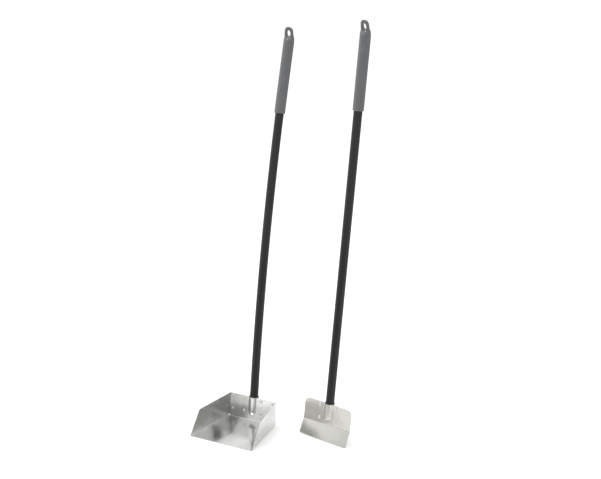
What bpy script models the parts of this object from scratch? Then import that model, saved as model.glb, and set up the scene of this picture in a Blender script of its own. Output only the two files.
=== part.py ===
"""Long-handled scoop set: a folded sheet pan and a small spade that scrapes into it.

Each tool has a sheet-metal head with half a socket pressed into it, a bracket that closes
the socket from behind, a tubular handle and a vinyl grip with a hanging hole. Metres, +Z up.
A tool's own axes have X to its right and its mouth or cutting edge towards -Y.
"""

import math

import bmesh
import bpy
from mathutils import Matrix, Vector

# Fits and stock
GAP = 0.0003                   # clearance between pieces that touch
CLEAR = 0.01                   # how far a cutter runs past what it cuts
SHEET = 0.0013                 # thickness of every sheet piece
FOLD_SET = 0.0018              # how far from a fold line the sheet starts to bend
FOLD_STEPS = 3

# Pan
PAN_MOUTH_WIDTH = 0.175
PAN_BACK_WIDTH = 0.135
PAN_DEPTH = 0.149
PAN_BACK_HEIGHT = 0.0607
PAN_LEAN = math.radians(7.1)   # the back wall's lean away from the mouth
SIDE_BREAK_DEPTH = 0.107       # where a side wall's top edge turns down, from the back wall
SIDE_BREAK_HEIGHT = 0.055
SIDE_SPRING = 0.0043           # how far a side wall has sprung outwards there
SPRING_STEPS = 4
CORNER_NOTCH = 0.0020          # relief between the back wall and a side wall
TAB_SET = 0.0022               # bend of a side wall into its rear tab
TAB_REACH = 0.0210             # how far a tab reaches behind the back wall
TAB_FOOT = 0.004
TAB_TAPER = 0.005
OUTER_RIVET_X = 0.0562         # rivets through the tabs

# Spade
SPADE_WIDTH = 0.141
PLATE_HEIGHT = 0.052
PLATE_LEAN = math.radians(7.9)
BLADE_HEIGHT = 0.041
BLADE_LEAN = math.radians(27.4)
BLADE_FOLD_SET = 0.003
TOP_CORNER_RADIUS = 0.0145
FOOT_CORNER_RADIUS = 0.005
CORNER_STEPS = 6
GROUND_HEIGHT = 0.0035         # height of the sharpened strip
EDGE_LAND = 0.0003             # thickness left at the cutting edge

# Socket, the same on both heads, measured down from the sheet's top edge
AXIS_BACK = 0.0053             # handle axis behind the sheet's middle
SOCKET_STRAIGHT = 0.0385
SOCKET_TAPER = 0.013
SOCKET_TIP_RADIUS = 0.0015
SOCKET_SIDES = 32
RIM_SET = 0.0002               # a pressed socket's rim below the sheet's top edge
RIVET_X = 0.0233
RIVET_DROP = 0.0069
RIVET_PITCH = 0.0324
RIVET_HOLE_RADIUS = 0.0024
RIVET_HEAD_RADIUS = 0.0038
RIVET_SHANK_RADIUS = 0.0021
RIVET_SIDES = 12
BRACKET_WIDTH = 0.060
BRACKET_HEIGHT = 0.0465
BRACKET_CORNER = 0.006
SCREW_DROP = 0.018
SCREW_HOLE_RADIUS = 0.0021
SCREW_HEAD_RADIUS = 0.0035
SCREW_SHANK_RADIUS = 0.0018
SCREW_LENGTH = 0.0105
SCREW_SIDES = 16

# Handle
TUBE_RADIUS = 0.0105
TUBE_WALL = 0.0010
TUBE_LENGTH = 0.914
PAN_HANDLE = 0.9185            # from the sheet's top edge to the tip of the grip
SPADE_HANDLE = 0.9215
PAN_HANDLE_BOW = math.radians(8.75)
BOW_SHARE = 0.85               # how much of a bowed handle's length is bent, from its foot
BOW_STEP = 0.060               # longest straight run in a bowed bar
BAR_ROUNDNESS = 9              # a bar curve's bevel_resolution
PLUG_LENGTH = 0.026
PLUG_EDGE = 0.001
COLLAR_RADIUS = 0.0124
COLLAR_HEIGHT = 0.0026
COLLAR_FLANGE = 0.0014
COLLAR_WALL = 0.0006

# Grip, measured along the handle
GRIP_RADIUS = 0.0133
GRIP_LENGTH = 0.209
TUBE_TOP_BELOW_TIP = 0.040
TAB_WIDTH = 0.0228
TAB_THICKNESS = 0.0082
TAB_CORNER = 0.0108
TAB_EDGE = 0.0024              # rounding of the tab's rim
TAB_LEAN = math.radians(17.0)  # the tab's lean forward of the handle
TAB_ROOT = 0.030               # where the tab's middle leaves the handle's axis, below the tip
TAB_SQUARENESS = 3.2           # exponent of the tab's section, 2 being an ellipse
WAIST = (0.0100, 0.0330)       # from the tab's width to the sleeve's, below the tip
FRONT_SHOULDER = (0.0215, 0.0345)
REAR_SLOPE = (0.0180, 0.0385)
HANG_HOLE_WIDTH = 0.0114
HANG_HOLE_HEIGHT = 0.0150
HANG_HOLE_DROP = 0.0145        # the hole's centre below the tip
GRIP_SIDES = 28
GRIP_RINGS = (0.0, 0.0008, 0.0024, 0.0052, 0.0100, 0.0150, 0.0200, 0.0225, 0.0250, 0.0267, 0.0280, 0.0300,
              0.0325, 0.0350, 0.0385)

# The pair standing side by side
PAN_PLACE = Vector((-0.0965, -0.0295, 0.0))
SPADE_PLACE = Vector((0.1104, -0.0458, 0.0))
SPADE_TURN = math.radians(-10.8)

# Worked out from the above
CAVITY_RADIUS = TUBE_RADIUS + GAP
SOCKET_RADIUS = CAVITY_RADIUS + SHEET
BRACKET_BACK = SHEET + GAP             # middle of the bracket and of the tabs behind the sheet's
STACK = 2 * SHEET + GAP                # what a rivet holds together


def clear_scene():
    for item in list(bpy.data.objects):
        bpy.data.objects.remove(item, do_unlink=True)


def new_collection(name):
    group = bpy.data.collections.new(name)
    bpy.context.scene.collection.children.link(group)
    return group


def new_material(name, colour, metallic, roughness):
    material = bpy.data.materials.new(name)
    material.use_nodes = True
    shader = material.node_tree.nodes["Principled BSDF"]
    shader.inputs["Base Color"].default_value = (*colour, 1.0)
    shader.inputs["Metallic"].default_value = metallic
    shader.inputs["Roughness"].default_value = roughness
    return material


clear_scene()
PARTS = new_collection("pan_and_spade_set")
CUTTERS = new_collection("cutters")
ALUMINIUM = new_material("mill_aluminium", (0.78, 0.78, 0.76), 1.0, 0.25)
RIVET_METAL = new_material("rivet_aluminium", (0.82, 0.82, 0.82), 1.0, 0.30)
BLACK_PAINT = new_material("black_paint", (0.022, 0.022, 0.021), 0.0, 0.42)
BLACK_PLASTIC = new_material("black_plastic", (0.012, 0.012, 0.012), 0.0, 0.50)
GREY_VINYL = new_material("grey_vinyl", (0.145, 0.148, 0.155), 0.0, 0.48)
ZINC_STEEL = new_material("zinc_steel", (0.62, 0.63, 0.66), 1.0, 0.32)
PLUG_PLASTIC = new_material("plug_plastic", (0.70, 0.69, 0.64), 0.0, 0.55)


class Tool:
    """A tool's empty, the frame of its socket and the line that its handle follows.

    The socket frame has its origin on the middle of the sheet, at the centre of the top edge,
    with Z up along the sheet and Y out of its rear face.
    """

    def __init__(self, name, place, turn, socket, handle, bow):
        self.name = name
        self.socket = socket
        self.handle = handle
        self.bow_end = handle * BOW_SHARE
        self.bend_rate = bow / self.bow_end
        self.tube_top = handle - TUBE_TOP_BELOW_TIP
        self.tube_foot = self.tube_top - TUBE_LENGTH
        self.empty = bpy.data.objects.new(name + "_origin", None)
        self.empty.location = place
        self.empty.rotation_euler = (0.0, 0.0, turn)
        PARTS.objects.link(self.empty)

    def along(self, distance):
        """Frame on the handle's axis, at a distance above the sheet's top edge, Z along the handle."""
        run = min(max(distance, 0.0), self.bow_end)
        angle = self.bend_rate * run
        back, rise = 0.0, run
        if angle:
            back = (1.0 - math.cos(angle)) / self.bend_rate
            rise = math.sin(angle) / self.bend_rate
        bowed = Matrix.Translation((0.0, AXIS_BACK + back, rise)) @ Matrix.Rotation(-angle, 4, "X")
        return self.socket @ bowed @ Matrix.Translation((0.0, 0.0, distance - run))


def add_object(name, data, tool, material=None, matrix=None):
    """Link an object under its tool's empty. With no material it is a cutter."""
    item = bpy.data.objects.new(name, data)
    item.parent = tool.empty
    item.matrix_local = matrix if matrix is not None else Matrix.Identity(4)
    if material is None:
        item.hide_render = True
        item.display_type = "WIRE"
        CUTTERS.objects.link(item)
    else:
        if not data.materials:
            data.materials.append(material)
        PARTS.objects.link(item)
    return item


def finish_mesh(name, shape, smooth=True):
    """Turn a bmesh into a mesh. A round one is smooth except at its corners, a sheet stays flat."""
    bmesh.ops.recalc_face_normals(shape, faces=shape.faces)
    mesh = bpy.data.meshes.new(name)
    shape.to_mesh(mesh)
    shape.free()
    if smooth:
        mesh.shade_smooth()
        mesh.set_sharp_from_angle(angle=math.radians(40.0))
    return mesh


def boolean(item, cutter, operation="DIFFERENCE"):
    modifier = item.modifiers.new(operation.lower() + "_" + cutter.name, "BOOLEAN")
    modifier.operation = operation
    modifier.object = cutter
    modifier.solver = "EXACT"


def thicken(item):
    modifier = item.modifiers.new("sheet", "SOLIDIFY")
    modifier.thickness = SHEET
    modifier.offset = 0.0
    modifier.use_even_offset = True


def turned_mesh(name, profile, closed=False):
    """A profile of (radius, height) points, from the top down its outer side, to be turned about Z."""
    mesh = bpy.data.meshes.new(name)
    points = [(radius, 0.0, height) for radius, height in profile]
    edges = [(i, i + 1) for i in range(len(points) - 1)]
    if closed:
        edges.append((len(points) - 1, 0))
    mesh.from_pydata(points, edges, [])
    return mesh


def turn(item, sides):
    modifier = item.modifiers.new("turn", "SCREW")
    modifier.axis = "Z"
    modifier.steps = sides
    modifier.render_steps = sides
    modifier.use_merge_vertices = True
    modifier.merge_threshold = 0.00001
    modifier.use_smooth_shade = True


def add_turned(name, profile, sides, tool, material, matrix, closed=False):
    item = add_object(name, turned_mesh(name, profile, closed), tool, material, matrix)
    turn(item, sides)
    return item


def add_box(name, size, tool, matrix):
    shape = bmesh.new()
    bmesh.ops.create_cube(shape, size=1.0)
    bmesh.ops.scale(shape, vec=size, verts=shape.verts)
    return add_object(name, finish_mesh(name, shape), tool, None, matrix)


def add_drills(name, tool, centres, radius, depth, turn_matrix, sides=18):
    """One cutter with a cylinder at each centre, its axis along Z turned by turn_matrix."""
    shape = bmesh.new()
    for centre in centres:
        place = Matrix.Translation(centre) @ turn_matrix
        bmesh.ops.create_cone(shape, cap_ends=True, segments=sides, radius1=radius,
                              radius2=radius, depth=depth, matrix=place)
    return add_object(name, finish_mesh(name, shape), tool, None, tool.socket)


def rivet_centres(columns):
    """Rivet places in the socket frame, two rows on each column given."""
    rows = (-RIVET_DROP, -RIVET_DROP - RIVET_PITCH)
    return [Vector((x, 0.0, z)) for x in columns for z in rows]


def socket_form(name, tool, profile, keep_side=0, plane_back=0.0):
    """Turned bar on the socket's axis, the inside or outside of a pressed socket.

    keep_side -1 keeps what is in front of a plane plane_back behind the sheet's middle, and 1 what
    is behind it.
    """
    shape = bmesh.new()
    verts = [shape.verts.new((x, 0.0, z)) for x, z in profile]
    edges = [shape.edges.new(pair) for pair in zip(verts, verts[1:])]
    bmesh.ops.spin(shape, geom=verts + edges, cent=(0, 0, 0), axis=(0, 0, 1), angle=math.tau,
                   steps=SOCKET_SIDES, use_merge=True, use_duplicate=False)
    bmesh.ops.remove_doubles(shape, verts=shape.verts, dist=0.00001)
    bmesh.ops.translate(shape, vec=(0.0, AXIS_BACK, 0.0), verts=shape.verts)
    if keep_side:
        cut = bmesh.ops.bisect_plane(shape, geom=shape.verts[:] + shape.edges[:] + shape.faces[:],
                                     plane_co=(0.0, plane_back, 0.0), plane_no=(0.0, -keep_side, 0.0),
                                     clear_outer=True)
        rim = [item for item in cut["geom_cut"] if isinstance(item, bmesh.types.BMEdge)]
        bmesh.ops.contextual_create(shape, geom=rim)
    return add_object(name, finish_mesh(name, shape), tool, None, tool.socket)


def press_socket(sheet, tool):
    """Press the front half of the socket into a sheet, and drill the holes of its bracket's rivets."""
    foot = -SOCKET_STRAIGHT - SOCKET_TAPER
    outside = socket_form(tool.name + "_bulge_outside", tool,
                          [(0.0, -RIM_SET), (SOCKET_RADIUS, -RIM_SET), (SOCKET_RADIUS, -SOCKET_STRAIGHT),
                           (SOCKET_TIP_RADIUS, foot), (0.0, foot)], keep_side=-1)
    inside = socket_form(tool.name + "_bulge_inside", tool,
                         [(0.0, CLEAR), (CAVITY_RADIUS, CLEAR), (CAVITY_RADIUS, -SOCKET_STRAIGHT),
                          (0.0, foot + SHEET)])
    boolean(sheet, outside, "UNION")
    boolean(sheet, inside)
    boolean(sheet, rivet_drills(tool, "rivet", RIVET_X))


def rivet_drills(tool, name, column):
    """Cutter for the rivet holes on both sides of the handle, through the sheet and what is behind."""
    return add_drills(f"{tool.name}_{name}_drills", tool, rivet_centres((-column, column)), RIVET_HOLE_RADIUS,
                      3 * STACK, Matrix.Rotation(math.pi / 2, 4, "X"))


def add_bracket(tool):
    """Strap behind the sheet: two flat ears and the rear half of the socket."""
    name = tool.name + "_socket_bracket"
    shape = bmesh.new()
    bmesh.ops.create_grid(shape, x_segments=1, y_segments=1, size=0.5)
    bmesh.ops.scale(shape, vec=(BRACKET_WIDTH, BRACKET_HEIGHT, 1.0), verts=shape.verts)
    bmesh.ops.bevel(shape, geom=shape.verts[:], offset=BRACKET_CORNER, offset_type="OFFSET", segments=4,
                    profile=0.5, affect="VERTICES")
    upright = Matrix.Rotation(math.pi / 2, 4, "X")
    place = Matrix.Translation((0.0, BRACKET_BACK, -BRACKET_HEIGHT / 2))
    bmesh.ops.transform(shape, matrix=place @ upright, verts=shape.verts)
    bracket = add_object(name, finish_mesh(name, shape, smooth=False), tool, ALUMINIUM, tool.socket)
    thicken(bracket)
    rim = RIM_SET - BRACKET_HEIGHT
    outside = socket_form(tool.name + "_bracket_outside", tool,
                          [(0.0, -RIM_SET), (SOCKET_RADIUS, -RIM_SET), (SOCKET_RADIUS, rim), (0.0, rim)],
                          keep_side=1, plane_back=BRACKET_BACK)
    foot = -BRACKET_HEIGHT - CLEAR
    inside = socket_form(tool.name + "_bracket_inside", tool,
                         [(0.0, CLEAR), (CAVITY_RADIUS, CLEAR), (CAVITY_RADIUS, foot), (0.0, foot)])
    boolean(bracket, outside, "UNION")
    boolean(bracket, inside)
    boolean(bracket, rivet_drills(tool, "bracket", RIVET_X))
    boolean(bracket, screw_drill(tool))


def screw_drill(tool):
    """Cutter from behind, through the bracket and the rear of the tube and plug, to the handle's axis."""
    name = tool.name + "_screw_drill"
    if name in bpy.data.objects:
        return bpy.data.objects[name]
    depth = SOCKET_RADIUS + GAP + SHEET
    centre = Vector((0.0, AXIS_BACK + depth / 2, -SCREW_DROP))
    return add_drills(name, tool, [centre], SCREW_HOLE_RADIUS, depth, Matrix.Rotation(math.pi / 2, 4, "X"))


def rivet_profile():
    """Domed head with the mandrel's recess, shank, and the bulb set behind the two sheets."""
    behind = -(STACK + 2 * GAP)
    return [(0.0, 0.0011), (0.0011, 0.0011), (0.0013, 0.0016), (0.0027, 0.00125), (RIVET_HEAD_RADIUS, 0.0004),
            (RIVET_HEAD_RADIUS, 0.0), (RIVET_SHANK_RADIUS, 0.0), (RIVET_SHANK_RADIUS, behind),
            (0.0030, behind - 0.0003), (0.0026, behind - 0.0018), (0.0, behind - 0.0022)]


def add_rivets(tool, columns, mesh_name="blind_rivet"):
    """Blind rivets with their heads to the front, all sharing one profile."""
    if mesh_name not in bpy.data.meshes:
        turned_mesh(mesh_name, rivet_profile())
    facing = Matrix.Rotation(math.pi / 2, 4, "X")
    for number, centre in enumerate(rivet_centres(columns), start=1):
        seat = centre + Vector((0.0, -SHEET / 2 - GAP, 0.0))
        rivet = add_object(f"{tool.name}_rivet_{number}", bpy.data.meshes[mesh_name], tool, RIVET_METAL,
                           tool.socket @ Matrix.Translation(seat) @ facing)
        turn(rivet, RIVET_SIDES)


def add_collar(tool):
    """Thin flange round the foot of the tube, standing on the socket's rim."""
    inner = CAVITY_RADIUS
    profile = [(inner, COLLAR_HEIGHT), (inner + COLLAR_WALL, COLLAR_HEIGHT), (COLLAR_RADIUS, COLLAR_FLANGE),
               (COLLAR_RADIUS, 0.0), (inner, 0.0)]
    add_turned(tool.name + "_collar", profile, GRIP_SIDES, tool, BLACK_PLASTIC, tool.along(GAP), closed=True)


def bow_steps(tool, length):
    """How many straight runs follow the handle's line closely enough over a length."""
    return math.ceil(length / BOW_STEP) if tool.bend_rate else 1


def bar_mesh(name, tool, radius, start, end):
    """Solid round bar along the handle's line, made from a curve with its caps welded on."""
    curve = bpy.data.curves.new(name, "CURVE")
    curve.dimensions = "3D"
    curve.bevel_depth = radius
    curve.bevel_resolution = BAR_ROUNDNESS
    curve.use_fill_caps = True
    steps = bow_steps(tool, end - start)
    spline = curve.splines.new("POLY")
    spline.points.add(steps)
    for i, point in enumerate(spline.points):
        point.co = (*tool.along(start + (end - start) * i / steps).translation, 1.0)
    guide = bpy.data.objects.new(name + "_guide", curve)
    CUTTERS.objects.link(guide)
    graph = bpy.context.evaluated_depsgraph_get()
    mesh = bpy.data.meshes.new_from_object(guide.evaluated_get(graph))
    bpy.data.objects.remove(guide, do_unlink=True)
    shape = bmesh.new()
    shape.from_mesh(mesh)
    bpy.data.meshes.remove(mesh)
    bmesh.ops.remove_doubles(shape, verts=shape.verts, dist=0.00001)
    return finish_mesh(name, shape)


def add_tube(tool):
    name = tool.name + "_handle_tube"
    outside = bar_mesh(name, tool, TUBE_RADIUS, tool.tube_foot, tool.tube_top)
    tube = add_object(name, outside, tool, BLACK_PAINT)
    bore = add_object(name + "_bore",
                      bar_mesh(name + "_bore", tool, TUBE_RADIUS - TUBE_WALL, tool.tube_foot - CLEAR,
                               tool.tube_top + CLEAR), tool)
    boolean(tube, bore)
    boolean(tube, screw_drill(tool))


def add_plug(tool):
    """Moulded core in the foot of the tube, which the handle's screw bites into."""
    radius = TUBE_RADIUS - TUBE_WALL - GAP
    profile = [(0.0, PLUG_LENGTH), (radius - PLUG_EDGE, PLUG_LENGTH), (radius, PLUG_LENGTH - PLUG_EDGE),
               (radius, 0.0), (0.0, 0.0)]
    plug = add_turned(tool.name + "_tube_plug", profile, GRIP_SIDES, tool, PLUG_PLASTIC,
                      tool.along(tool.tube_foot))
    boolean(plug, screw_drill(tool))


def add_screw(tool):
    """Pan-head screw from behind, through the bracket and the tube into the plug."""
    profile = [(0.0, 0.0009), (0.0010, 0.0012), (0.0014, 0.0021), (0.0026, 0.0018),
               (SCREW_HEAD_RADIUS, 0.0009), (SCREW_HEAD_RADIUS, 0.0), (SCREW_SHANK_RADIUS, 0.0),
               (SCREW_SHANK_RADIUS, SCREW_SHANK_RADIUS - SCREW_LENGTH), (0.0, -SCREW_LENGTH)]
    seat = Vector((0.0, AXIS_BACK + SOCKET_RADIUS + GAP, -SCREW_DROP))
    place = tool.socket @ Matrix.Translation(seat) @ Matrix.Rotation(-math.pi / 2, 4, "X")
    add_turned(tool.name + "_handle_screw", profile, SCREW_SIDES, tool, ZINC_STEEL, place)


def share(value, span):
    """How far a value has come through a span, from 0 to 1."""
    return min(max((value - span[0]) / (span[1] - span[0]), 0.0), 1.0)


def ease(amount):
    return amount * amount * (3.0 - 2.0 * amount)


def rounded_end(below_tip, radius):
    """How much an edge of this radius, at the tip, takes off at a distance below it."""
    if below_tip >= radius:
        return 0.0
    return radius - math.sqrt(radius ** 2 - (radius - below_tip) ** 2)


def tab_forward(below_tip):
    """How far the tab's middle stands in front of the handle's axis."""
    return math.tan(TAB_LEAN) * max(TAB_ROOT - below_tip, 0.0)


def grip_section(below_tip):
    """Half width, front, rear and squareness of the grip's section at a distance below its tip."""
    half_width = TAB_WIDTH / 2 + (GRIP_RADIUS - TAB_WIDTH / 2) * ease(share(below_tip, WAIST))
    half_width -= rounded_end(below_tip, TAB_CORNER)
    half_tab = TAB_THICKNESS / 2 - rounded_end(below_tip, TAB_EDGE)
    tab_front = half_tab + tab_forward(below_tip)
    tab_rear = half_tab - tab_forward(below_tip)
    shoulder = ease(share(below_tip, FRONT_SHOULDER))
    front = tab_front + (GRIP_RADIUS - tab_front) * shoulder
    rear = tab_rear + (GRIP_RADIUS - tab_rear) * ease(share(below_tip, REAR_SLOPE))
    squareness = TAB_SQUARENESS + (2.0 - TAB_SQUARENESS) * shoulder
    return half_width, front, rear, squareness


def squared(value, exponent):
    return math.copysign(abs(value) ** exponent, value)


def add_grip(tool):
    """Dipped sleeve: round on the tube, flattened above it into a leaning tab with a hanging hole."""
    name = tool.name + "_grip"
    sleeve = GRIP_LENGTH - GRIP_RINGS[-1]
    runs = bow_steps(tool, sleeve)
    below_tip = [*GRIP_RINGS, *(GRIP_RINGS[-1] + sleeve * (i + 1) / runs for i in range(runs))]
    shape = bmesh.new()
    rings = []
    for distance in below_tip:
        half_width, front, rear, squareness = grip_section(distance)
        frame = tool.along(tool.handle - distance) @ Matrix.Translation((0.0, (rear - front) / 2, 0.0))
        ring = []
        for i in range(GRIP_SIDES):
            angle = math.tau * i / GRIP_SIDES
            x = half_width * squared(math.cos(angle), 2 / squareness)
            y = (front + rear) / 2 * squared(math.sin(angle), 2 / squareness)
            ring.append(shape.verts.new(frame @ Vector((x, y, 0.0))))
        rings.append(ring)
    for upper, lower in zip(rings, rings[1:]):
        for i in range(GRIP_SIDES):
            j = (i + 1) % GRIP_SIDES
            shape.faces.new((upper[i], upper[j], lower[j], lower[i]))
    shape.faces.new(rings[0])
    shape.faces.new(rings[-1])
    grip = add_object(name, finish_mesh(name, shape), tool, GREY_VINYL)
    bore = add_object(name + "_bore",
                      bar_mesh(name + "_bore", tool, CAVITY_RADIUS, tool.handle - GRIP_LENGTH - CLEAR,
                               tool.tube_top + GAP), tool)
    boolean(grip, bore)
    boolean(grip, hang_hole(tool))


def tab_frame(tool, below_tip):
    """Frame in the middle of the grip's tab, with Y along the axis of its hole."""
    forward = Matrix.Translation((0.0, -tab_forward(below_tip), 0.0))
    return tool.along(tool.handle - below_tip) @ forward @ Matrix.Rotation(TAB_LEAN, 4, "X")


def hang_hole(tool):
    shape = bmesh.new()
    bmesh.ops.create_cone(shape, cap_ends=True, segments=24, radius1=0.5, radius2=0.5, depth=1.0)
    bmesh.ops.rotate(shape, matrix=Matrix.Rotation(math.pi / 2, 3, "X"), verts=shape.verts)
    bmesh.ops.scale(shape, vec=(HANG_HOLE_WIDTH, 4 * TAB_THICKNESS, HANG_HOLE_HEIGHT), verts=shape.verts)
    name = tool.name + "_hang_hole"
    return add_object(name, finish_mesh(name, shape), tool, None, tab_frame(tool, HANG_HOLE_DROP))


def side_half_width(y):
    """Half the pan's width at a depth y, on the middle of the side walls' sheet."""
    flare = (PAN_MOUTH_WIDTH - PAN_BACK_WIDTH) / 2 / PAN_DEPTH
    return (PAN_BACK_WIDTH - SHEET) / 2 - flare * y


def on_back_wall(x, behind, up):
    """Point at x, behind the back wall's middle and up along it from its fold."""
    y = behind * math.cos(PAN_LEAN) + up * math.sin(PAN_LEAN)
    z = SHEET / 2 - behind * math.sin(PAN_LEAN) + up * math.cos(PAN_LEAN)
    return Vector((x, y, z))


def spring_sides(shape):
    """Lean the folded side walls outwards, from nothing at the back wall."""
    for step in range(1, SPRING_STEPS + 1):
        geom = shape.verts[:] + shape.edges[:] + shape.faces[:]
        bmesh.ops.bisect_plane(shape, geom=geom, plane_co=(0.0, -SIDE_BREAK_DEPTH * step / SPRING_STEPS, 0.0),
                               plane_no=(0.0, 1.0, 0.0))
    for vert in shape.verts:
        lean = SIDE_SPRING * share(-vert.co.y, (0.0, SIDE_BREAK_DEPTH)) / SIDE_BREAK_HEIGHT
        vert.co.x += math.copysign(lean * (vert.co.z - SHEET / 2), vert.co.x)


def fold_pan(name):
    """The pan's flat flaps, folded up from its floor: back wall, side walls and their rear tabs."""
    floor = SHEET / 2
    wall = (PAN_BACK_HEIGHT - SHEET / 2) / math.cos(PAN_LEAN)
    shape = bmesh.new()
    corners = {}
    for side in (-1, 1):
        def point(x, y, z):
            return shape.verts.new((side * x, y, z))

        def wall_point(inset, behind, up):
            place = on_back_wall(0.0, behind, up)
            place.x = side * (side_half_width(place.y) - inset)
            return shape.verts.new(place)

        mouth = point(side_half_width(-PAN_DEPTH), -PAN_DEPTH, floor)
        side_end = point(side_half_width(-CORNER_NOTCH), -CORNER_NOTCH, floor)
        notch = point(side_half_width(-CORNER_NOTCH) - CORNER_NOTCH, -CORNER_NOTCH, floor)
        wall_foot = wall_point(CORNER_NOTCH, 0.0, 0.0)
        wall_top = wall_point(CORNER_NOTCH, 0.0, wall)
        tab_foot = wall_point(0.0, BRACKET_BACK, TAB_FOOT)
        tab_top = wall_point(0.0, BRACKET_BACK, wall)
        tab_end_foot = wall_point(TAB_REACH, BRACKET_BACK, TAB_FOOT + TAB_TAPER)
        tab_end_top = wall_point(TAB_REACH, BRACKET_BACK, wall - TAB_TAPER)
        turn_down = point(side_half_width(-SIDE_BREAK_DEPTH), -SIDE_BREAK_DEPTH, SIDE_BREAK_HEIGHT)
        shape.faces.new((mouth, side_end, tab_foot, tab_top, turn_down))
        shape.faces.new((tab_foot, tab_end_foot, tab_end_top, tab_top))
        corners[side] = (mouth, side_end, notch, wall_foot, wall_top, tab_foot, tab_top)
    left, right = corners[-1], corners[1]
    shape.faces.new((*left[:4], *reversed(right[:4])))
    shape.faces.new((left[3], left[4], right[4], right[3]))
    tab_bends = [shape.edges.get(corner[5:7]) for corner in (left, right)]
    floor_bends = [shape.edges.get(corner[0:2]) for corner in (left, right)]
    floor_bends.append(shape.edges.get((left[3], right[3])))
    bmesh.ops.recalc_face_normals(shape, faces=shape.faces)
    bmesh.ops.bevel(shape, geom=tab_bends, offset=TAB_SET, offset_type="OFFSET", segments=FOLD_STEPS,
                    profile=0.5, affect="EDGES")
    floor_bends = [edge for edge in floor_bends if edge.is_valid]
    bmesh.ops.bevel(shape, geom=floor_bends, offset=FOLD_SET, offset_type="OFFSET", segments=FOLD_STEPS,
                    profile=0.5, affect="EDGES")
    spring_sides(shape)
    return finish_mesh(name, shape, smooth=False)


def add_pan():
    wall_top = on_back_wall(0.0, 0.0, (PAN_BACK_HEIGHT - SHEET / 2) / math.cos(PAN_LEAN))
    socket = Matrix.Translation(wall_top) @ Matrix.Rotation(-PAN_LEAN, 4, "X")
    tool = Tool("pan", PAN_PLACE, 0.0, socket, PAN_HANDLE, PAN_HANDLE_BOW)
    tray = add_object("pan_tray", fold_pan("pan_tray"), tool, ALUMINIUM)
    thicken(tray)
    press_socket(tray, tool)
    boolean(tray, rivet_drills(tool, "tab", OUTER_RIVET_X))
    add_rivets(tool, (-OUTER_RIVET_X, -RIVET_X, RIVET_X, OUTER_RIVET_X))
    add_handle(tool)


def add_spade():
    lift = SHEET / 2 * math.sin(BLADE_LEAN)
    foot = Matrix.Translation((0.0, 0.0, lift)) @ Matrix.Rotation(-BLADE_LEAN, 4, "X")
    fold = Matrix.Translation(foot @ Vector((0.0, 0.0, BLADE_HEIGHT))) @ Matrix.Rotation(-PLATE_LEAN, 4, "X")
    socket = fold @ Matrix.Translation((0.0, 0.0, PLATE_HEIGHT))
    tool = Tool("spade", SPADE_PLACE, SPADE_TURN, socket, SPADE_HANDLE, 0.0)
    shape = bmesh.new()
    rows = []
    half_width = Vector((SPADE_WIDTH / 2, 0.0, 0.0))
    for middle in (foot.translation, fold.translation, socket.translation):
        rows.append([shape.verts.new(middle - half_width), shape.verts.new(middle + half_width)])
    for lower, upper in zip(rows, rows[1:]):
        shape.faces.new((lower[0], lower[1], upper[1], upper[0]))
    bend = shape.edges.get(rows[1])
    for row, radius in ((rows[2], TOP_CORNER_RADIUS), (rows[0], FOOT_CORNER_RADIUS)):
        bmesh.ops.bevel(shape, geom=row, offset=radius, offset_type="OFFSET", segments=CORNER_STEPS,
                        profile=0.5, affect="VERTICES")
    bmesh.ops.bevel(shape, geom=[bend], offset=BLADE_FOLD_SET, offset_type="OFFSET", segments=FOLD_STEPS,
                    profile=0.5, affect="EDGES")
    blade = add_object("spade_blade", finish_mesh("spade_blade", shape, smooth=False), tool, ALUMINIUM)
    thicken(blade)
    press_socket(blade, tool)
    boolean(blade, ground_edge(tool, foot))
    add_rivets(tool, (-RIVET_X, RIVET_X))
    add_handle(tool)


def ground_edge(tool, foot):
    """Cutter that grinds the front of the blade's foot down to a thin land."""
    slope = math.atan2(SHEET - EDGE_LAND, GROUND_HEIGHT)
    land = foot @ Matrix.Translation((0.0, SHEET / 2 - EDGE_LAND, 0.0)) @ Matrix.Rotation(slope, 4, "X")
    size = Vector((SPADE_WIDTH + 2 * CLEAR, CLEAR, 2 * CLEAR))
    return add_box("spade_grinder", size, tool, land @ Matrix.Translation((0.0, -size.y / 2, 0.0)))


def add_handle(tool):
    add_bracket(tool)
    add_collar(tool)
    add_tube(tool)
    add_plug(tool)
    add_screw(tool)
    add_grip(tool)


add_pan()
add_spade()
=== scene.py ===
import math

import bmesh
import bpy
from mathutils import Matrix, Vector


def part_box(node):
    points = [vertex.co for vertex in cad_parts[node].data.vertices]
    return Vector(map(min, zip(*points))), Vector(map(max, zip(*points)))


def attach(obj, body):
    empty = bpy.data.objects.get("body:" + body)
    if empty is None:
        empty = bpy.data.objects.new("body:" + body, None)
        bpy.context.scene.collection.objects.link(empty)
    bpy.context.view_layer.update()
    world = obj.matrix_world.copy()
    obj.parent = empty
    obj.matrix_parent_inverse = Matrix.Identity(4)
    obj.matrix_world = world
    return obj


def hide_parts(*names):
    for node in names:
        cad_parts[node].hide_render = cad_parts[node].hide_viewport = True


# A folded aluminium pan and a small spade, each riveted to a long painted tube with a vinyl grip.
# Metres throughout. A tool's own axes have X to its right and its mouth or edge towards -Y.

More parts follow.
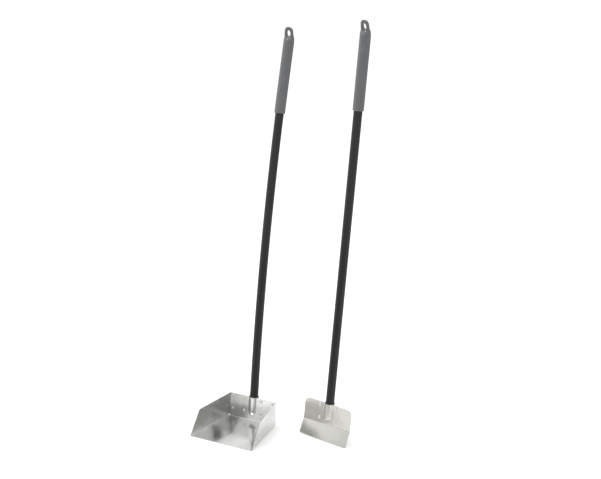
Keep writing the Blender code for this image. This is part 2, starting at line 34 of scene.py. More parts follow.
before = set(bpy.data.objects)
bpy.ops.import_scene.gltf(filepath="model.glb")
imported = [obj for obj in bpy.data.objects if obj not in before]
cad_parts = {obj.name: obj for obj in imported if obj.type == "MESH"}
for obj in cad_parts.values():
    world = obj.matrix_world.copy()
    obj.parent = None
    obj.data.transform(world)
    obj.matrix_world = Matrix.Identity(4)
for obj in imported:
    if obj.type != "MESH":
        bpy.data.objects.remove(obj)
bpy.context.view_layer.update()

gap = 0.0003            # clearance between pieces that touch
metal = 0.0013          # thickness of every sheet piece
foldSteps = 8           # faces round each bend
hair = 0.0001           # the smallest edge that is modelled
weld = 0.00002          # points this close become one
smoothUpTo = math.radians(38)       # turned edges sharper than this stay crisp
dressed = {"width": 0.00028, "segments": 2, "angle": math.radians(50)}      # a sheet's cut edges

panLow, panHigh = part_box("pan_tray")
pan = {
    "body": "pan",
    "mouthWidth": 0.175, "backWidth": 0.135, "depth": 0.149, "backHeight": 0.0607,
    "lean": math.radians(7.1), "turn": 0.0,
    "breakDepth": 0.107, "breakHeight": 0.055,      # where a side's top edge turns down to the mouth
    "spring": 0.0043, "springCuts": 10,             # how far a side has sprung outwards there
    "bend": 0.0018, "tabBend": 0.0022, "notch": 0.0020,
    "tabReach": 0.021, "tabFoot": 0.004, "tabTaper": 0.005, "cornerRound": 0.0012, "cornerSteps": 4,
    "rivetColumns": (-0.0562, -0.0233, 0.0233, 0.0562),
    "handle": 0.9185, "bow": math.radians(8.75), "bowShare": 0.85,
}
pan["place"] = Vector(((panLow.x + panHigh.x) / 2, panLow.y + pan["depth"], panLow.z))

spade = {
    "body": "spade",
    "width": 0.141, "plateHeight": 0.052, "lean": math.radians(7.9),
    "bladeHeight": 0.041, "bladeLean": math.radians(27.4), "bend": 0.003,
    "topCorner": 0.0145, "topSteps": 10, "footCorner": 0.005, "footSteps": 6,
    "groundHeight": 0.0035, "edgeLand": 0.0003,
    "place": Vector((0.1104, -0.0458, 0.0)), "turn": math.radians(-10.8),
    "rivetColumns": (-0.0233, 0.0233),
    "handle": 0.9215, "bow": 0.0, "bowShare": 0.85,
}

tube = {"radius": 0.0105, "wall": 0.001, "length": 0.914, "edge": 0.0002, "sides": 64, "ringStep": 0.015}

socket = {
    "axisBack": 0.0053,             # the handle's axis behind the sheet's middle
    "straight": 0.0385, "taper": 0.013, "tipRadius": 0.0015,
    "patchHalf": 0.0142, "patchDepth": 0.0492, "patchCuts": 46,
    "fillet": 0.0006, "fadeOut": 0.006,     # the fillet has died away where the form lies this deep
    "near": 0.0002, "leastArea": 0.0003, "reach": 0.06,     # how its face is told from the others
    "rivetDrop": 0.0069, "rivetPitch": 0.0324, "screwDrop": 0.018,
}
cavityRadius = tube["radius"] + gap
bracketBack = metal + gap           # the bracket's middle behind the sheet's

print("frame loaded:", len(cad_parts), "nodes")


def headFrame(tool):
    return Matrix.Translation(tool["place"]) @ Matrix.Rotation(tool["turn"], 4, "Z")


def leanBack(angle):
    return Matrix.Rotation(-angle, 4, "X")


def onBackWall(behind, up):
    # a point's y and z, behind the back wall's middle and up along it from the fold
    y = behind * math.cos(pan["lean"]) + up * math.sin(pan["lean"])
    z = metal / 2 - behind * math.sin(pan["lean"]) + up * math.cos(pan["lean"])
    return y, z


def wallLength():
    return (pan["backHeight"] - metal / 2) / math.cos(pan["lean"])


def bladeFrames():
    # the foot and the fold of the spade, in its own axes
    foot = Matrix.Translation((0, 0, metal / 2 * math.sin(spade["bladeLean"]))) @ leanBack(spade["bladeLean"])
    fold = Matrix.Translation(foot @ Vector((0, 0, spade["bladeHeight"]))) @ leanBack(spade["lean"])
    return foot, fold


def socketFrame(tool):
    # origin at the centre of the sheet's top edge, Z up along the sheet, Y out of its rear face
    if tool is pan:
        return headFrame(pan) @ Matrix.Translation((0, *onBackWall(0, wallLength()))) @ leanBack(pan["lean"])
    return headFrame(spade) @ bladeFrames()[1] @ Matrix.Translation((0, 0, spade["plateHeight"]))


def along(tool, distance):
    # frame on the handle's axis at a distance above the sheet's top edge
    bowEnd = tool["handle"] * tool["bowShare"]
    run = min(max(distance, 0.0), bowEnd)
    rate = tool["bow"] / bowEnd
    angle = rate * run
    back, rise = 0.0, run
    if angle:
        back = (1 - math.cos(angle)) / rate
        rise = math.sin(angle) / rate
    bowed = Matrix.Translation((0, socket["axisBack"] + back, rise)) @ leanBack(angle)
    return socketFrame(tool) @ bowed @ Matrix.Translation((0, 0, distance - run))


def tubeEnds(tool):
    top = tool["handle"] - grip["tubeTop"]
    return top - tube["length"], top


def rivetSeats(tool):
    rows = (-socket["rivetDrop"], -socket["rivetDrop"] - socket["rivetPitch"])
    return [Vector((x, 0, z)) for x in tool["rivetColumns"] for z in rows]


def share(value, span):
    return min(max((value - span[0]) / (span[1] - span[0]), 0.0), 1.0)


def ease(amount):
    return amount * amount * (3 - 2 * amount)


def spread(start, end, count):
    # evenly spaced values after start, the last one at end
    return [start + (end - start) * i / count for i in range(1, count + 1)]


def bevelPart(shape, geom, offset, segments, affect="EDGES"):
    bmesh.ops.bevel(shape, geom=geom, offset=offset, offset_type="OFFSET", segments=segments,
                    profile=0.5, affect=affect, material=-1, clamp_overlap=True)


def mirrorHalf(shape):
    # copy the half at +X across to -X and weld it on
    everything = shape.verts[:] + shape.edges[:] + shape.faces[:]
    bmesh.ops.mirror(shape, geom=everything, merge_dist=weld, axis="X")
    bmesh.ops.remove_doubles(shape, verts=shape.verts, dist=weld)
    bmesh.ops.recalc_face_normals(shape, faces=shape.faces)


def spunShape(profile, steps):
    # profile of (radius, height) points turned about Z into a closed body
    shape = bmesh.new()
    verts = [shape.verts.new((radius, 0, height)) for radius, height in profile]
    edges = [shape.edges.new(pair) for pair in zip(verts, verts[1:])]
    bmesh.ops.spin(shape, geom=verts + edges, cent=(0, 0, 0), axis=(0, 0, 1), angle=math.tau, steps=steps,
                   use_merge=True, use_duplicate=False)
    bmesh.ops.remove_doubles(shape, verts=shape.verts, dist=weld / 4)
    bmesh.ops.recalc_face_normals(shape, faces=shape.faces)
    return shape


def arc(centre, radius, start, end, steps):
    # points of an arc in a profile, angles in degrees from the outward direction
    points = []
    for i in range(steps + 1):
        angle = math.radians(start + (end - start) * i / steps)
        points.append((centre[0] + radius * math.cos(angle), centre[1] + radius * math.sin(angle)))
    return points


def loftRings(placeRing, rings, sides, hollow=False):
    # closed body drawn out through a row of rings; placeRing(ring, turn) gives a point of a ring
    shape = bmesh.new()
    turns = shape.verts.layers.float.new("turn")
    verts = bmesh.ops.create_circle(shape, segments=sides, radius=1.0)["verts"]
    for vert in verts:
        vert[turns] = math.atan2(vert.co.y, vert.co.x)
        vert.co = placeRing(rings[0], vert[turns])
    edges = firstEdges = shape.edges[:]
    for ring in rings[1:] + (rings[:1] if hollow else []):
        drawn = bmesh.ops.extrude_edge_only(shape, edges=edges)["geom"]
        verts = {item for item in drawn if isinstance(item, bmesh.types.BMVert)}
        edges = [item for item in drawn if isinstance(item, bmesh.types.BMEdge)]
        edges = [edge for edge in edges if verts.issuperset(edge.verts)]
        for vert in verts:
            vert.co = placeRing(ring, vert[turns])
    if hollow:
        bmesh.ops.remove_doubles(shape, verts=shape.verts, dist=weld / 4)
    else:
        for end in (firstEdges, edges):
            bmesh.ops.contextual_create(shape, geom=end)
    shape.verts.layers.float.remove(turns)
    bmesh.ops.recalc_face_normals(shape, faces=shape.faces)
    return shape


def smoothShade(mesh, angle=smoothUpTo):
    mesh.shade_smooth()
    mesh.set_sharp_from_angle(angle=angle)


def newPiece(name, shape, finish, matrix=None):
    if matrix is not None:
        bmesh.ops.transform(shape, matrix=matrix, verts=shape.verts)
    mesh = bpy.data.meshes.new(name)
    shape.to_mesh(mesh)
    shape.free()
    smoothShade(mesh)
    mesh.materials.append(finish)
    piece = bpy.data.objects.new(name, mesh)
    bpy.context.scene.collection.objects.link(piece)
    return piece


def applyModifiers(piece):
    graph = bpy.context.evaluated_depsgraph_get()
    mesh = bpy.data.meshes.new_from_object(piece.evaluated_get(graph))
    piece.modifiers.clear()
    piece.data = mesh


def cutAway(piece, shape):
    # take a cutter's shape out of a piece
    mesh = bpy.data.meshes.new("cutter")
    shape.to_mesh(mesh)
    shape.free()
    cutter = bpy.data.objects.new("cutter", mesh)
    bpy.context.scene.collection.objects.link(cutter)
    modifier = piece.modifiers.new("cut", "BOOLEAN")
    modifier.operation = "DIFFERENCE"
    modifier.solver = "EXACT"
    modifier.object = cutter
    applyModifiers(piece)
    bpy.data.objects.remove(cutter, do_unlink=True)
    shape = bmesh.new()
    shape.from_mesh(piece.data)
    bmesh.ops.remove_doubles(shape, verts=shape.verts, dist=weld / 4)
    shape.to_mesh(piece.data)
    shape.free()


def dressSheet(piece, offset=0.0, weights=None):
    # give an open surface the sheet's thickness and dressed edges, and keep its flats flat
    thick = piece.modifiers.new("thickness", "SOLIDIFY")
    thick.thickness = metal
    thick.offset = offset
    thick.use_even_offset = True
    if weights:
        thick.vertex_group = weights
    edge = piece.modifiers.new("dressedEdge", "BEVEL")
    edge.width = dressed["width"]
    edge.segments = dressed["segments"]
    edge.limit_method = "ANGLE"
    edge.angle_limit = dressed["angle"]
    edge.use_clamp_overlap = True
    flat = piece.modifiers.new("flats", "WEIGHTED_NORMAL")
    flat.keep_sharp = True
    applyModifiers(piece)


def claim(piece, tool, node):
    # the piece moves with its tool and stands for one CAD node
    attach(piece, tool["body"])
    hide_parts(node)


class Wire:
    # an output socket, so that shader maths reads as ordinary arithmetic

    def __init__(self, finish, socketOut):
        self.finish = finish
        self.socketOut = socketOut

    def combine(self, operation, first, second):
        return self.finish.node("ShaderNodeMath", {"operation": operation}, {0: first, 1: second})

    def __add__(self, other):
        return self.combine("ADD", self, other)

    def __radd__(self, other):
        return self.combine("ADD", other, self)

    def __sub__(self, other):
        return self.combine("SUBTRACT", self, other)

    def __rsub__(self, other):
        return self.combine("SUBTRACT", other, self)

    def __mul__(self, other):
        return self.combine("MULTIPLY", self, other)

    def __rmul__(self, other):
        return self.combine("MULTIPLY", other, self)


class Finish:
    # a material under construction

    def __init__(self, name, fixed, coordinates="Object"):
        self.material = bpy.data.materials.new(name)
        self.material.use_nodes = True
        self.tree = self.material.node_tree
        self.surface = self.tree.nodes["Principled BSDF"]
        for label, value in fixed.items():
            self.surface.inputs[label].default_value = value
        self.place = self.node("ShaderNodeTexCoord", output=coordinates)

    def node(self, kind, settings=None, values=None, output=0):
        # settings are the node's own, values are numbers, colours or wires for its sockets
        node = self.tree.nodes.new(kind)
        for label, value in (settings or {}).items():
            setattr(node, label, value)
        for label, value in (values or {}).items():
            if isinstance(value, Wire):
                self.tree.links.new(value.socketOut, node.inputs[label])
            else:
                node.inputs[label].default_value = value
        return Wire(self, node.outputs[output])

    def stretched(self, scale):
        return self.node("ShaderNodeMapping", values={"Vector": self.place, "Scale": scale}, output="Vector")

    def noise(self, scale, detail=3.0, roughness=0.55, distortion=0.0):
        # scale per metre on each axis
        values = {"Vector": self.stretched(scale), "Scale": 1.0, "Detail": detail, "Roughness": roughness,
                  "Distortion": distortion}
        return self.node("ShaderNodeTexNoise", values=values, output="Fac")

    def cellEdges(self, scale):
        # distance from the borders of scattered cells
        values = {"Vector": self.stretched(scale), "Scale": 1.0}
        return self.node("ShaderNodeTexVoronoi", {"feature": "DISTANCE_TO_EDGE"}, values, output="Distance")

    def span(self, value, low, high):
        # where a value lies between low and high, eased
        values = {"Value": value, "From Min": low, "From Max": high}
        return self.node("ShaderNodeMapRange", {"interpolation_type": "SMOOTHSTEP"}, values, output="Result")

    def blend(self, first, second, amount):
        # colour from first to second
        ends = [(*colour, 1.0) if isinstance(colour, tuple) else colour for colour in (first, second)]
        values = {0: amount, 6: ends[0], 7: ends[1]}        # the sockets of the colour mix
        return self.node("ShaderNodeMix", {"data_type": "RGBA"}, values, output=2)

    def bump(self, height, distance, strength=1.0, normal=None):
        values = {"Height": height, "Distance": distance, "Strength": strength}
        if normal:
            values["Normal"] = normal
        return self.node("ShaderNodeBump", values=values, output="Normal")

    def feed(self, label, wire):
        self.tree.links.new(wire.socketOut, self.surface.inputs[label])


aluminium = {
    "light": (0.70, 0.70, 0.688), "dull": (0.585, 0.585, 0.57), "roughness": 0.15,
    "spadeTint": (0.84, 0.83, 0.80),   # the spade's sheet is duller and warmer than the pan's
    "grain": (620.0, 9.0, 1.0), "coarse": (150.0, 3.0, 1.0), "lineDepth": 0.000014,
    "patches": (24.0, 17.0, 1.0), "waves": (14.0, 9.0, 1.0), "waveDepth": 0.00035,
    "scratches": (260.0, 26.0, 1.0), "scratched": (60.0, 20.0, 1.0), "scratchWidth": 0.035,
    "scratchDepth": -0.00002, "scratchStrength": 0.3,
}


def sheetFinish(name, polish=1.0, tint=(1.0, 1.0, 1.0)):
    # mill-rolled sheet: lines along the rolling direction, slight waves, scuffs and dull patches
    finish = Finish(name, {"Metallic": 1.0}, coordinates="UV")
    grain = finish.noise(aluminium["grain"], detail=5.0, roughness=0.7)
    coarse = finish.noise(aluminium["coarse"], detail=2.0)
    patches = finish.noise(aluminium["patches"], detail=4.0, distortion=0.6)
    scratch = 1 - finish.span(finish.cellEdges(aluminium["scratches"]), 0.0, aluminium["scratchWidth"])
    scratch = scratch * finish.span(finish.noise(aluminium["scratched"], detail=2.0), 0.52, 0.66)
    dull = finish.span(patches, 0.35, 0.75)
    light, deep = (tuple(a * b for a, b in zip(aluminium[key], tint)) for key in ("light", "dull"))
    finish.feed("Base Color", finish.blend(light, deep, dull * 0.7 + grain * 0.35))
    rough = aluminium["roughness"] / polish + dull * 0.07 + (grain - 0.5) * 0.10 + scratch * 0.07
    finish.feed("Roughness", rough)
    waves = finish.bump(finish.noise(aluminium["waves"], detail=1.0), aluminium["waveDepth"])
    lines = finish.bump(grain * 0.7 + coarse * 0.3, aluminium["lineDepth"], normal=waves)
    scored = finish.bump(scratch, aluminium["scratchDepth"], aluminium["scratchStrength"], normal=lines)
    finish.feed("Normal", scored)
    return finish.material


paint = {
    "dark": (0.0095, 0.0095, 0.009), "worn": (0.0155, 0.0155, 0.0148), "dust": (0.040, 0.039, 0.037),
    "shine": 0.30, "roughness": 0.36,
    "peel": (1300.0, 1300.0, 900.0), "peelDepth": 0.00002,
    "drawn": (520.0, 520.0, 5.0), "drawnDepth": 0.00003,
    "cloud": (60.0, 60.0, 8.0), "specks": (2600.0, 2600.0, 2600.0),
}


def paintFinish():
    # satin black baked paint on drawn tube
    finish = Finish("blackPaint", {"Metallic": 0.0, "IOR": 1.5, "Specular IOR Level": paint["shine"]})
    peel = finish.noise(paint["peel"], detail=2.0)
    drawn = finish.noise(paint["drawn"], detail=3.0)
    cloud = finish.noise(paint["cloud"], detail=3.0)
    dust = finish.span(finish.noise(paint["specks"], detail=1.0), 0.70, 0.76)
    tone = finish.blend(paint["dark"], paint["worn"], cloud)
    finish.feed("Base Color", finish.blend(tone, paint["dust"], dust * 0.5))
    finish.feed("Roughness", paint["roughness"] + cloud * 0.10 + dust * 0.15)
    skin = finish.bump(peel, paint["peelDepth"], strength=0.6)
    finish.feed("Normal", finish.bump(drawn, paint["drawnDepth"], strength=0.5, normal=skin))
    return finish.material


vinyl = {
    "dark": (0.092, 0.094, 0.099), "light": (0.112, 0.114, 0.118), "bloom": (0.130, 0.131, 0.134),
    "shine": 0.45, "roughness": 0.21,
    "skin": (2400.0, 2400.0, 2400.0), "skinDepth": 0.00004,
    "sag": (70.0, 70.0, 26.0), "sagDepth": 0.00025, "rubbed": (38.0, 38.0, 13.0),
}


def vinylFinish():
    # dipped grey vinyl: fine matt skin, slight sagging waves and lighter rubbed patches
    finish = Finish("greyVinyl", {"Metallic": 0.0, "IOR": 1.48, "Specular IOR Level": vinyl["shine"]})
    skin = finish.noise(vinyl["skin"], detail=3.0, roughness=0.6)
    sag = finish.noise(vinyl["sag"], detail=2.0)
    rubbed = finish.span(finish.noise(vinyl["rubbed"], detail=4.0, distortion=0.8), 0.45, 0.72)
    tone = finish.blend(vinyl["dark"], vinyl["light"], rubbed)
    finish.feed("Base Color", finish.blend(tone, vinyl["bloom"], skin * 0.25))
    finish.feed("Roughness", vinyl["roughness"] + rubbed * 0.07 + skin * 0.07)
    soft = finish.bump(sag, vinyl["sagDepth"], strength=0.5)
    finish.feed("Normal", finish.bump(skin, vinyl["skinDepth"], strength=0.5, normal=soft))
    return finish.material


smallFinishes = {
    # headed wire slightly brighter than the sheet, speckled moulding, zinc plate, and a moulded core
    # that is seen only up the foot of the tube
    "rivetMetal": {
        "fixed": {"Metallic": 1.0}, "tones": ((0.80, 0.80, 0.79), (0.66, 0.66, 0.65)),
        "scale": (900.0, 900.0, 900.0), "detail": 3.0, "distortion": 0.0,
        "roughness": 0.15, "varies": 0.14, "depth": 0.00003, "strength": 1.0,
    },
    "blackPlastic": {
        "fixed": {"Metallic": 0.0, "IOR": 1.49}, "tones": ((0.011, 0.011, 0.011), (0.021, 0.021, 0.020)),
        "scale": (1500.0, 1500.0, 1500.0), "detail": 3.0, "distortion": 0.0,
        "roughness": 0.42, "varies": 0.16, "depth": 0.00003, "strength": 0.6,
    },
    "zincPlate": {
        "fixed": {"Metallic": 1.0}, "tones": ((0.62, 0.64, 0.68), (0.50, 0.50, 0.50)),
        "scale": (700.0, 700.0, 700.0), "detail": 4.0, "distortion": 0.0,
        "roughness": 0.22, "varies": 0.18, "depth": 0.00002, "strength": 1.0,
    },
    "plugPlastic": {
        "fixed": {"Metallic": 0.0, "IOR": 1.5}, "tones": ((0.66, 0.64, 0.58), (0.55, 0.54, 0.49)),
        "scale": (160.0, 160.0, 60.0), "detail": 4.0, "distortion": 0.5,
        "roughness": 0.48, "varies": 0.12, "depth": 0.0001, "strength": 0.4,
    },
}


def mottledFinish(name):
    values = smallFinishes[name]
    finish = Finish(name, values["fixed"])
    mottle = finish.noise(values["scale"], detail=values["detail"], distortion=values["distortion"])
    finish.feed("Base Color", finish.blend(*values["tones"], mottle))
    finish.feed("Roughness", values["roughness"] + mottle * values["varies"])
    finish.feed("Normal", finish.bump(mottle, values["depth"], strength=values["strength"]))
    return finish.material


finishes = {
    "tray": sheetFinish("panAluminium"),
    "blade": sheetFinish("spadeAluminium", polish=0.85, tint=aluminium["spadeTint"]),
    "bracket": sheetFinish("bracketAluminium", polish=0.9),
    "rivet": mottledFinish("rivetMetal"),
    "paint": paintFinish(),
    "vinyl": vinylFinish(),
    "collar": mottledFinish("blackPlastic"),
    "screw": mottledFinish("zincPlate"),
    "plug": mottledFinish("plugPlastic"),
}
print("finishes made:", len(finishes))


def bulge(x, z, radius, axisDepth):
    # how far the pressed socket stands in front of the surface, at a place on its patch
    if z < -socket["straight"]:
        narrowing = min((-socket["straight"] - z) / socket["taper"], 1.0)
        radius += (socket["tipRadius"] - radius) * narrowing
    x = abs(x)
    if x < radius:
        form = math.sqrt(radius * radius - x * x) - axisDepth
    else:
        form = radius - x - axisDepth
    soft = socket["fillet"]
    lift = (form + math.sqrt(form * form + soft * soft)) / 2
    floorLift = soft * soft / (4 * socket["fadeOut"])
    return max(lift - floorLift, 0.0)


def pressSocket(shape, frameHere, behind):
    # a fine patch at the top centre of the half sheet, pushed out into the front of the socket
    inverse = frameHere.inverted()
    wall = None
    for face in shape.faces:
        centre = inverse @ face.calc_center_median()
        large = face.calc_area() > socket["leastArea"]
        if large and abs(centre.y - behind) < socket["near"] and -socket["reach"] < centre.z < 0:
            wall = face
    patchSides = (((socket["patchHalf"], 0, 0), (1, 0, 0)), ((0, 0, -socket["patchDepth"]), (0, 0, 1)))
    for point, normal in patchSides:
        geom = [wall] + wall.edges[:] + wall.verts[:]
        bmesh.ops.bisect_plane(shape, geom=geom, plane_co=frameHere @ Vector(point),
                               plane_no=frameHere.to_3x3() @ Vector(normal))
        for face in shape.faces:
            centre = inverse @ face.calc_center_median()
            inPatch = 0 < centre.x < socket["patchHalf"] and -socket["patchDepth"] < centre.z < 0
            if inPatch and abs(centre.y - behind) < socket["near"]:
                wall = face
    cuts = bmesh.ops.subdivide_edges(shape, edges=wall.edges[:], cuts=socket["patchCuts"], use_grid_fill=True)
    radius = cavityRadius + metal / 2 - behind
    for item in cuts["geom_inner"] + list(wall.verts if wall.is_valid else []):
        if isinstance(item, bmesh.types.BMVert):
            local = inverse @ item.co
            local.y = behind - bulge(local.x, local.z, radius, socket["axisBack"] - behind)
            item.co = frameHere @ local


squareOn = 0.72         # a face turned this far to an axis is unfolded along it


def grainMap(shape, unfold):
    # rolling lines follow V; unfold(face, point) gives where a point lay on the flat sheet
    layer = shape.loops.layers.uv.new("rolling")
    for face in shape.faces:
        for loop in face.loops:
            loop[layer].uv = unfold(face, loop.vert.co)


def sideHalfWidth(y):
    flare = (pan["mouthWidth"] - pan["backWidth"]) / 2 / pan["depth"]
    return (pan["backWidth"] - metal) / 2 - flare * y


def springSides(shape):
    # folded sides lean out a little towards the mouth, from nothing at the back wall
    for step in range(1, pan["springCuts"] + 1):
        depth = pan["breakDepth"] * step / pan["springCuts"]
        bmesh.ops.bisect_plane(shape, geom=shape.verts[:] + shape.edges[:] + shape.faces[:],
                               plane_co=(0, -depth, 0), plane_no=(0, 1, 0))
    for vert in shape.verts:
        lean = pan["spring"] * share(-vert.co.y, (0.0, pan["breakDepth"])) / pan["breakHeight"]
        vert.co.x += lean * (vert.co.z - metal / 2)


def buildTray():
    floorUp = metal / 2
    wall = wallLength()
    notch, reach = pan["notch"], pan["tabReach"]
    shape = bmesh.new()

    def wallPoint(inset, behind, up):
        y, z = onBackWall(behind, up)
        return shape.verts.new((sideHalfWidth(y) - inset, y, z))

    def floorPoint(inset, y):
        return shape.verts.new((sideHalfWidth(y) - inset, y, floorUp))

    middleMouth = shape.verts.new((0, -pan["depth"], floorUp))
    middleFold = shape.verts.new((0, *onBackWall(0, 0)))
    middleTop = shape.verts.new((0, *onBackWall(0, wall)))
    mouth = floorPoint(0, -pan["depth"])
    sideEnd = floorPoint(0, -notch)
    relief = floorPoint(notch, -notch)
    wallFoot = wallPoint(notch, 0, 0)
    wallTop = wallPoint(notch, 0, wall)
    tabFoot = wallPoint(0, bracketBack, pan["tabFoot"])
    tabTop = wallPoint(0, bracketBack, wall)
    tabEndFoot = wallPoint(reach, bracketBack, pan["tabFoot"] + pan["tabTaper"])
    tabEndTop = wallPoint(reach, bracketBack, wall - pan["tabTaper"])
    turnDown = shape.verts.new((sideHalfWidth(-pan["breakDepth"]), -pan["breakDepth"], pan["breakHeight"]))
    shape.faces.new((middleMouth, mouth, sideEnd, relief, wallFoot, middleFold))
    shape.faces.new((middleFold, wallFoot, wallTop, middleTop))
    shape.faces.new((mouth, turnDown, tabTop, tabFoot, sideEnd))
    shape.faces.new((tabFoot, tabTop, tabEndTop, tabEndFoot))
    bmesh.ops.recalc_face_normals(shape, faces=shape.faces)
    tabBend = [shape.edges.get((tabFoot, tabTop))]
    floorBends = [shape.edges.get((mouth, sideEnd)), shape.edges.get((middleFold, wallFoot))]
    rounded = [turnDown, wallTop, tabEndFoot, tabEndTop]
    bevelPart(shape, tabBend, pan["tabBend"], foldSteps)
    floorBends = [edge for edge in floorBends if edge.is_valid]
    bevelPart(shape, floorBends, pan["bend"], foldSteps)
    bevelPart(shape, [vert for vert in rounded if vert.is_valid], pan["cornerRound"], pan["cornerSteps"],
              affect="VERTICES")
    springSides(shape)
    pressSocket(shape, headFrame(pan).inverted() @ socketFrame(pan), 0.0)
    mirrorHalf(shape)

    def unfold(face, co):
        if abs(face.normal.x) > squareOn:
            return (co.x + math.copysign(co.z, co.x), co.y)
        if abs(face.normal.y) > squareOn:
            return (co.x, co.z)
        return (co.x, co.y)

    grainMap(shape, unfold)
    tray = newPiece("pan_tray_sheet", shape, finishes["tray"], matrix=headFrame(pan))
    dressSheet(tray)
    claim(tray, pan, "pan_tray")


def buildBlade():
    # drawn on the rear face, so that the cutting edge is ground from the front only
    foot, fold = bladeFrames()
    inSocket = headFrame(spade).inverted() @ socketFrame(spade)
    behind = metal / 2
    half = spade["width"] / 2
    rear = Matrix.Translation((0, behind, 0))
    shape = bmesh.new()
    rows = []
    for place in (foot, fold, inSocket):
        middle = (place @ rear).translation
        rows.append([shape.verts.new(middle), shape.verts.new(middle + Vector((half, 0, 0)))])
    for lower, upper in zip(rows, rows[1:]):
        shape.faces.new((lower[0], lower[1], upper[1], upper[0]))
    bend = shape.edges.get(rows[1])
    bevelPart(shape, [rows[2][1]], spade["topCorner"], spade["topSteps"], affect="VERTICES")
    bevelPart(shape, [rows[0][1]], spade["footCorner"], spade["footSteps"], affect="VERTICES")
    bevelPart(shape, [bend], spade["bend"], foldSteps)
    ground = foot @ Vector((0, behind, spade["groundHeight"]))
    bmesh.ops.bisect_plane(shape, geom=shape.verts[:] + shape.edges[:] + shape.faces[:], plane_co=ground,
                           plane_no=foot.to_3x3() @ Vector((0, 0, 1)))
    pressSocket(shape, inSocket, behind)
    mirrorHalf(shape)
    grainMap(shape, lambda face, co: (co.z, co.x))
    blade = newPiece("spade_blade_sheet", shape, finishes["blade"], matrix=headFrame(spade))
    thickness = blade.vertex_groups.new(name="thickness")
    inFoot = (headFrame(spade) @ foot).inverted()
    thin = spade["edgeLand"] / metal
    for vert in blade.data.vertices:
        whole = share((inFoot @ vert.co).z, (0.0, spade["groundHeight"]))
        thickness.add([vert.index], thin + (1 - thin) * whole, "REPLACE")
    faceFront = blade.data.polygons[0].normal.dot(headFrame(spade).to_3x3() @ Vector((0, -1, 0)))
    dressSheet(blade, offset=1.0 if faceFront > 0 else -1.0, weights="thickness")
    claim(blade, spade, "spade_blade")


bracket = {
    "width": 0.060, "height": 0.0465, "corner": 0.006, "cornerSteps": 8,
    "fillet": 0.0016, "filletSteps": 6, "arcSteps": 20,
}


def buildBracket(tool):
    # strap bent round the rear of the handle: ear, fillet, straight side and half round
    radius = cavityRadius + metal / 2
    fillet = bracket["fillet"]
    points = arc((0, socket["axisBack"]), radius, 90, 0, bracket["arcSteps"])
    points += arc((radius + fillet, bracketBack + fillet), fillet, 180, 270, bracket["filletSteps"])
    points.append((bracket["width"] / 2, bracketBack))
    shape = bmesh.new()
    verts = [shape.verts.new((x, y, 0)) for x, y in points]
    edges = [shape.edges.new(pair) for pair in zip(verts, verts[1:])]
    lower = bmesh.ops.extrude_edge_only(shape, edges=edges)["geom"]
    lowerVerts = [item for item in lower if isinstance(item, bmesh.types.BMVert)]
    bmesh.ops.translate(shape, vec=(0, 0, -bracket["height"]), verts=lowerVerts)
    corners = [vert for vert in shape.verts if vert.co.x > bracket["width"] / 2 - hair]
    bevelPart(shape, corners, bracket["corner"], bracket["cornerSteps"], affect="VERTICES")
    mirrorHalf(shape)
    grainMap(shape, lambda face, co: (co.x, co.z))
    piece = newPiece(tool["body"] + "_bracket_strap", shape, finishes["bracket"], matrix=socketFrame(tool))
    dressSheet(piece)
    claim(piece, tool, tool["body"] + "_socket_bracket")


rivet = {
    "head": 0.0038, "height": 0.0016, "lip": 0.0015, "rim": 0.00035, "underRound": (0.0003, 0.00008),
    "domeSteps": 8, "domePower": 2.4, "shank": 0.0021, "steps": 32,
    "bulb": 0.0030, "bulbRound": 0.0008, "bulbBehind": 0.0010,
    # radius and depth below the top of the head: mandrel stub, then its recess
    "stub": ((0, 0.0007), (0.0007, 0.00062), (0.00085, 0.0009), (0.0012, 0.0009), (0.0013, 0.00012)),
    # radius and distance behind the sheets: the mandrel's head past the set bulb
    "mandrel": ((0.0018, 0.0020), (0.0015, 0.0022), (0.0009, 0.0026), (0, 0.0027)),
}


def rivetProfile():
    # mandrel stub in its recess, lip, dome, flat under the head, shank, set bulb and mandrel head
    head, height, lip, rim = rivet["head"], rivet["height"], rivet["lip"], rivet["rim"]
    shank, bulbRound = rivet["shank"], rivet["bulbRound"]
    under, underUp = rivet["underRound"]
    behind = -(2 * metal + 3 * gap)
    points = [(radius, height - below) for radius, below in rivet["stub"]] + [(lip, height)]
    for across in spread(0.0, 1.0, rivet["domeSteps"]):
        dome = math.sqrt(max(1 - across ** rivet["domePower"], 0.0))
        points.append((lip + (head - lip) * across, rim + (height - rim) * dome))
    points += [(head - hair, underUp), (head - under, 0), (shank, 0), (shank, behind)]
    points += arc((rivet["bulb"] - bulbRound, behind - rivet["bulbBehind"]), bulbRound, 80, -40, 6)
    points += [(radius, behind - beyond) for radius, beyond in rivet["mandrel"]]
    return points


def buildRivets(tool):
    facing = Matrix.Rotation(math.pi / 2, 4, "X")
    for number, seat in enumerate(rivetSeats(tool), start=1):
        place = socketFrame(tool) @ Matrix.Translation(seat + Vector((0, -metal / 2 - gap, 0))) @ facing
        name = f"{tool['body']}_rivet_{number}"
        piece = newPiece(name + "_headed", spunShape(rivetProfile(), rivet["steps"]), finishes["rivet"],
                         matrix=place)
        claim(piece, tool, name)


screw = {
    "head": 0.0035, "crown": 0.0021, "crownFlat": 0.0012, "crownRound": 0.0017, "crownBase": 0.0004,
    "length": 0.0105, "shank": 0.0018, "thread": 0.0007, "threadDepth": 0.0003, "threadFrom": 0.001,
    "plain": 0.003, "point": 0.0015, "slot": 0.0008, "cross": 0.0021, "crossHeight": 0.0024,
    "steps": 36,
}


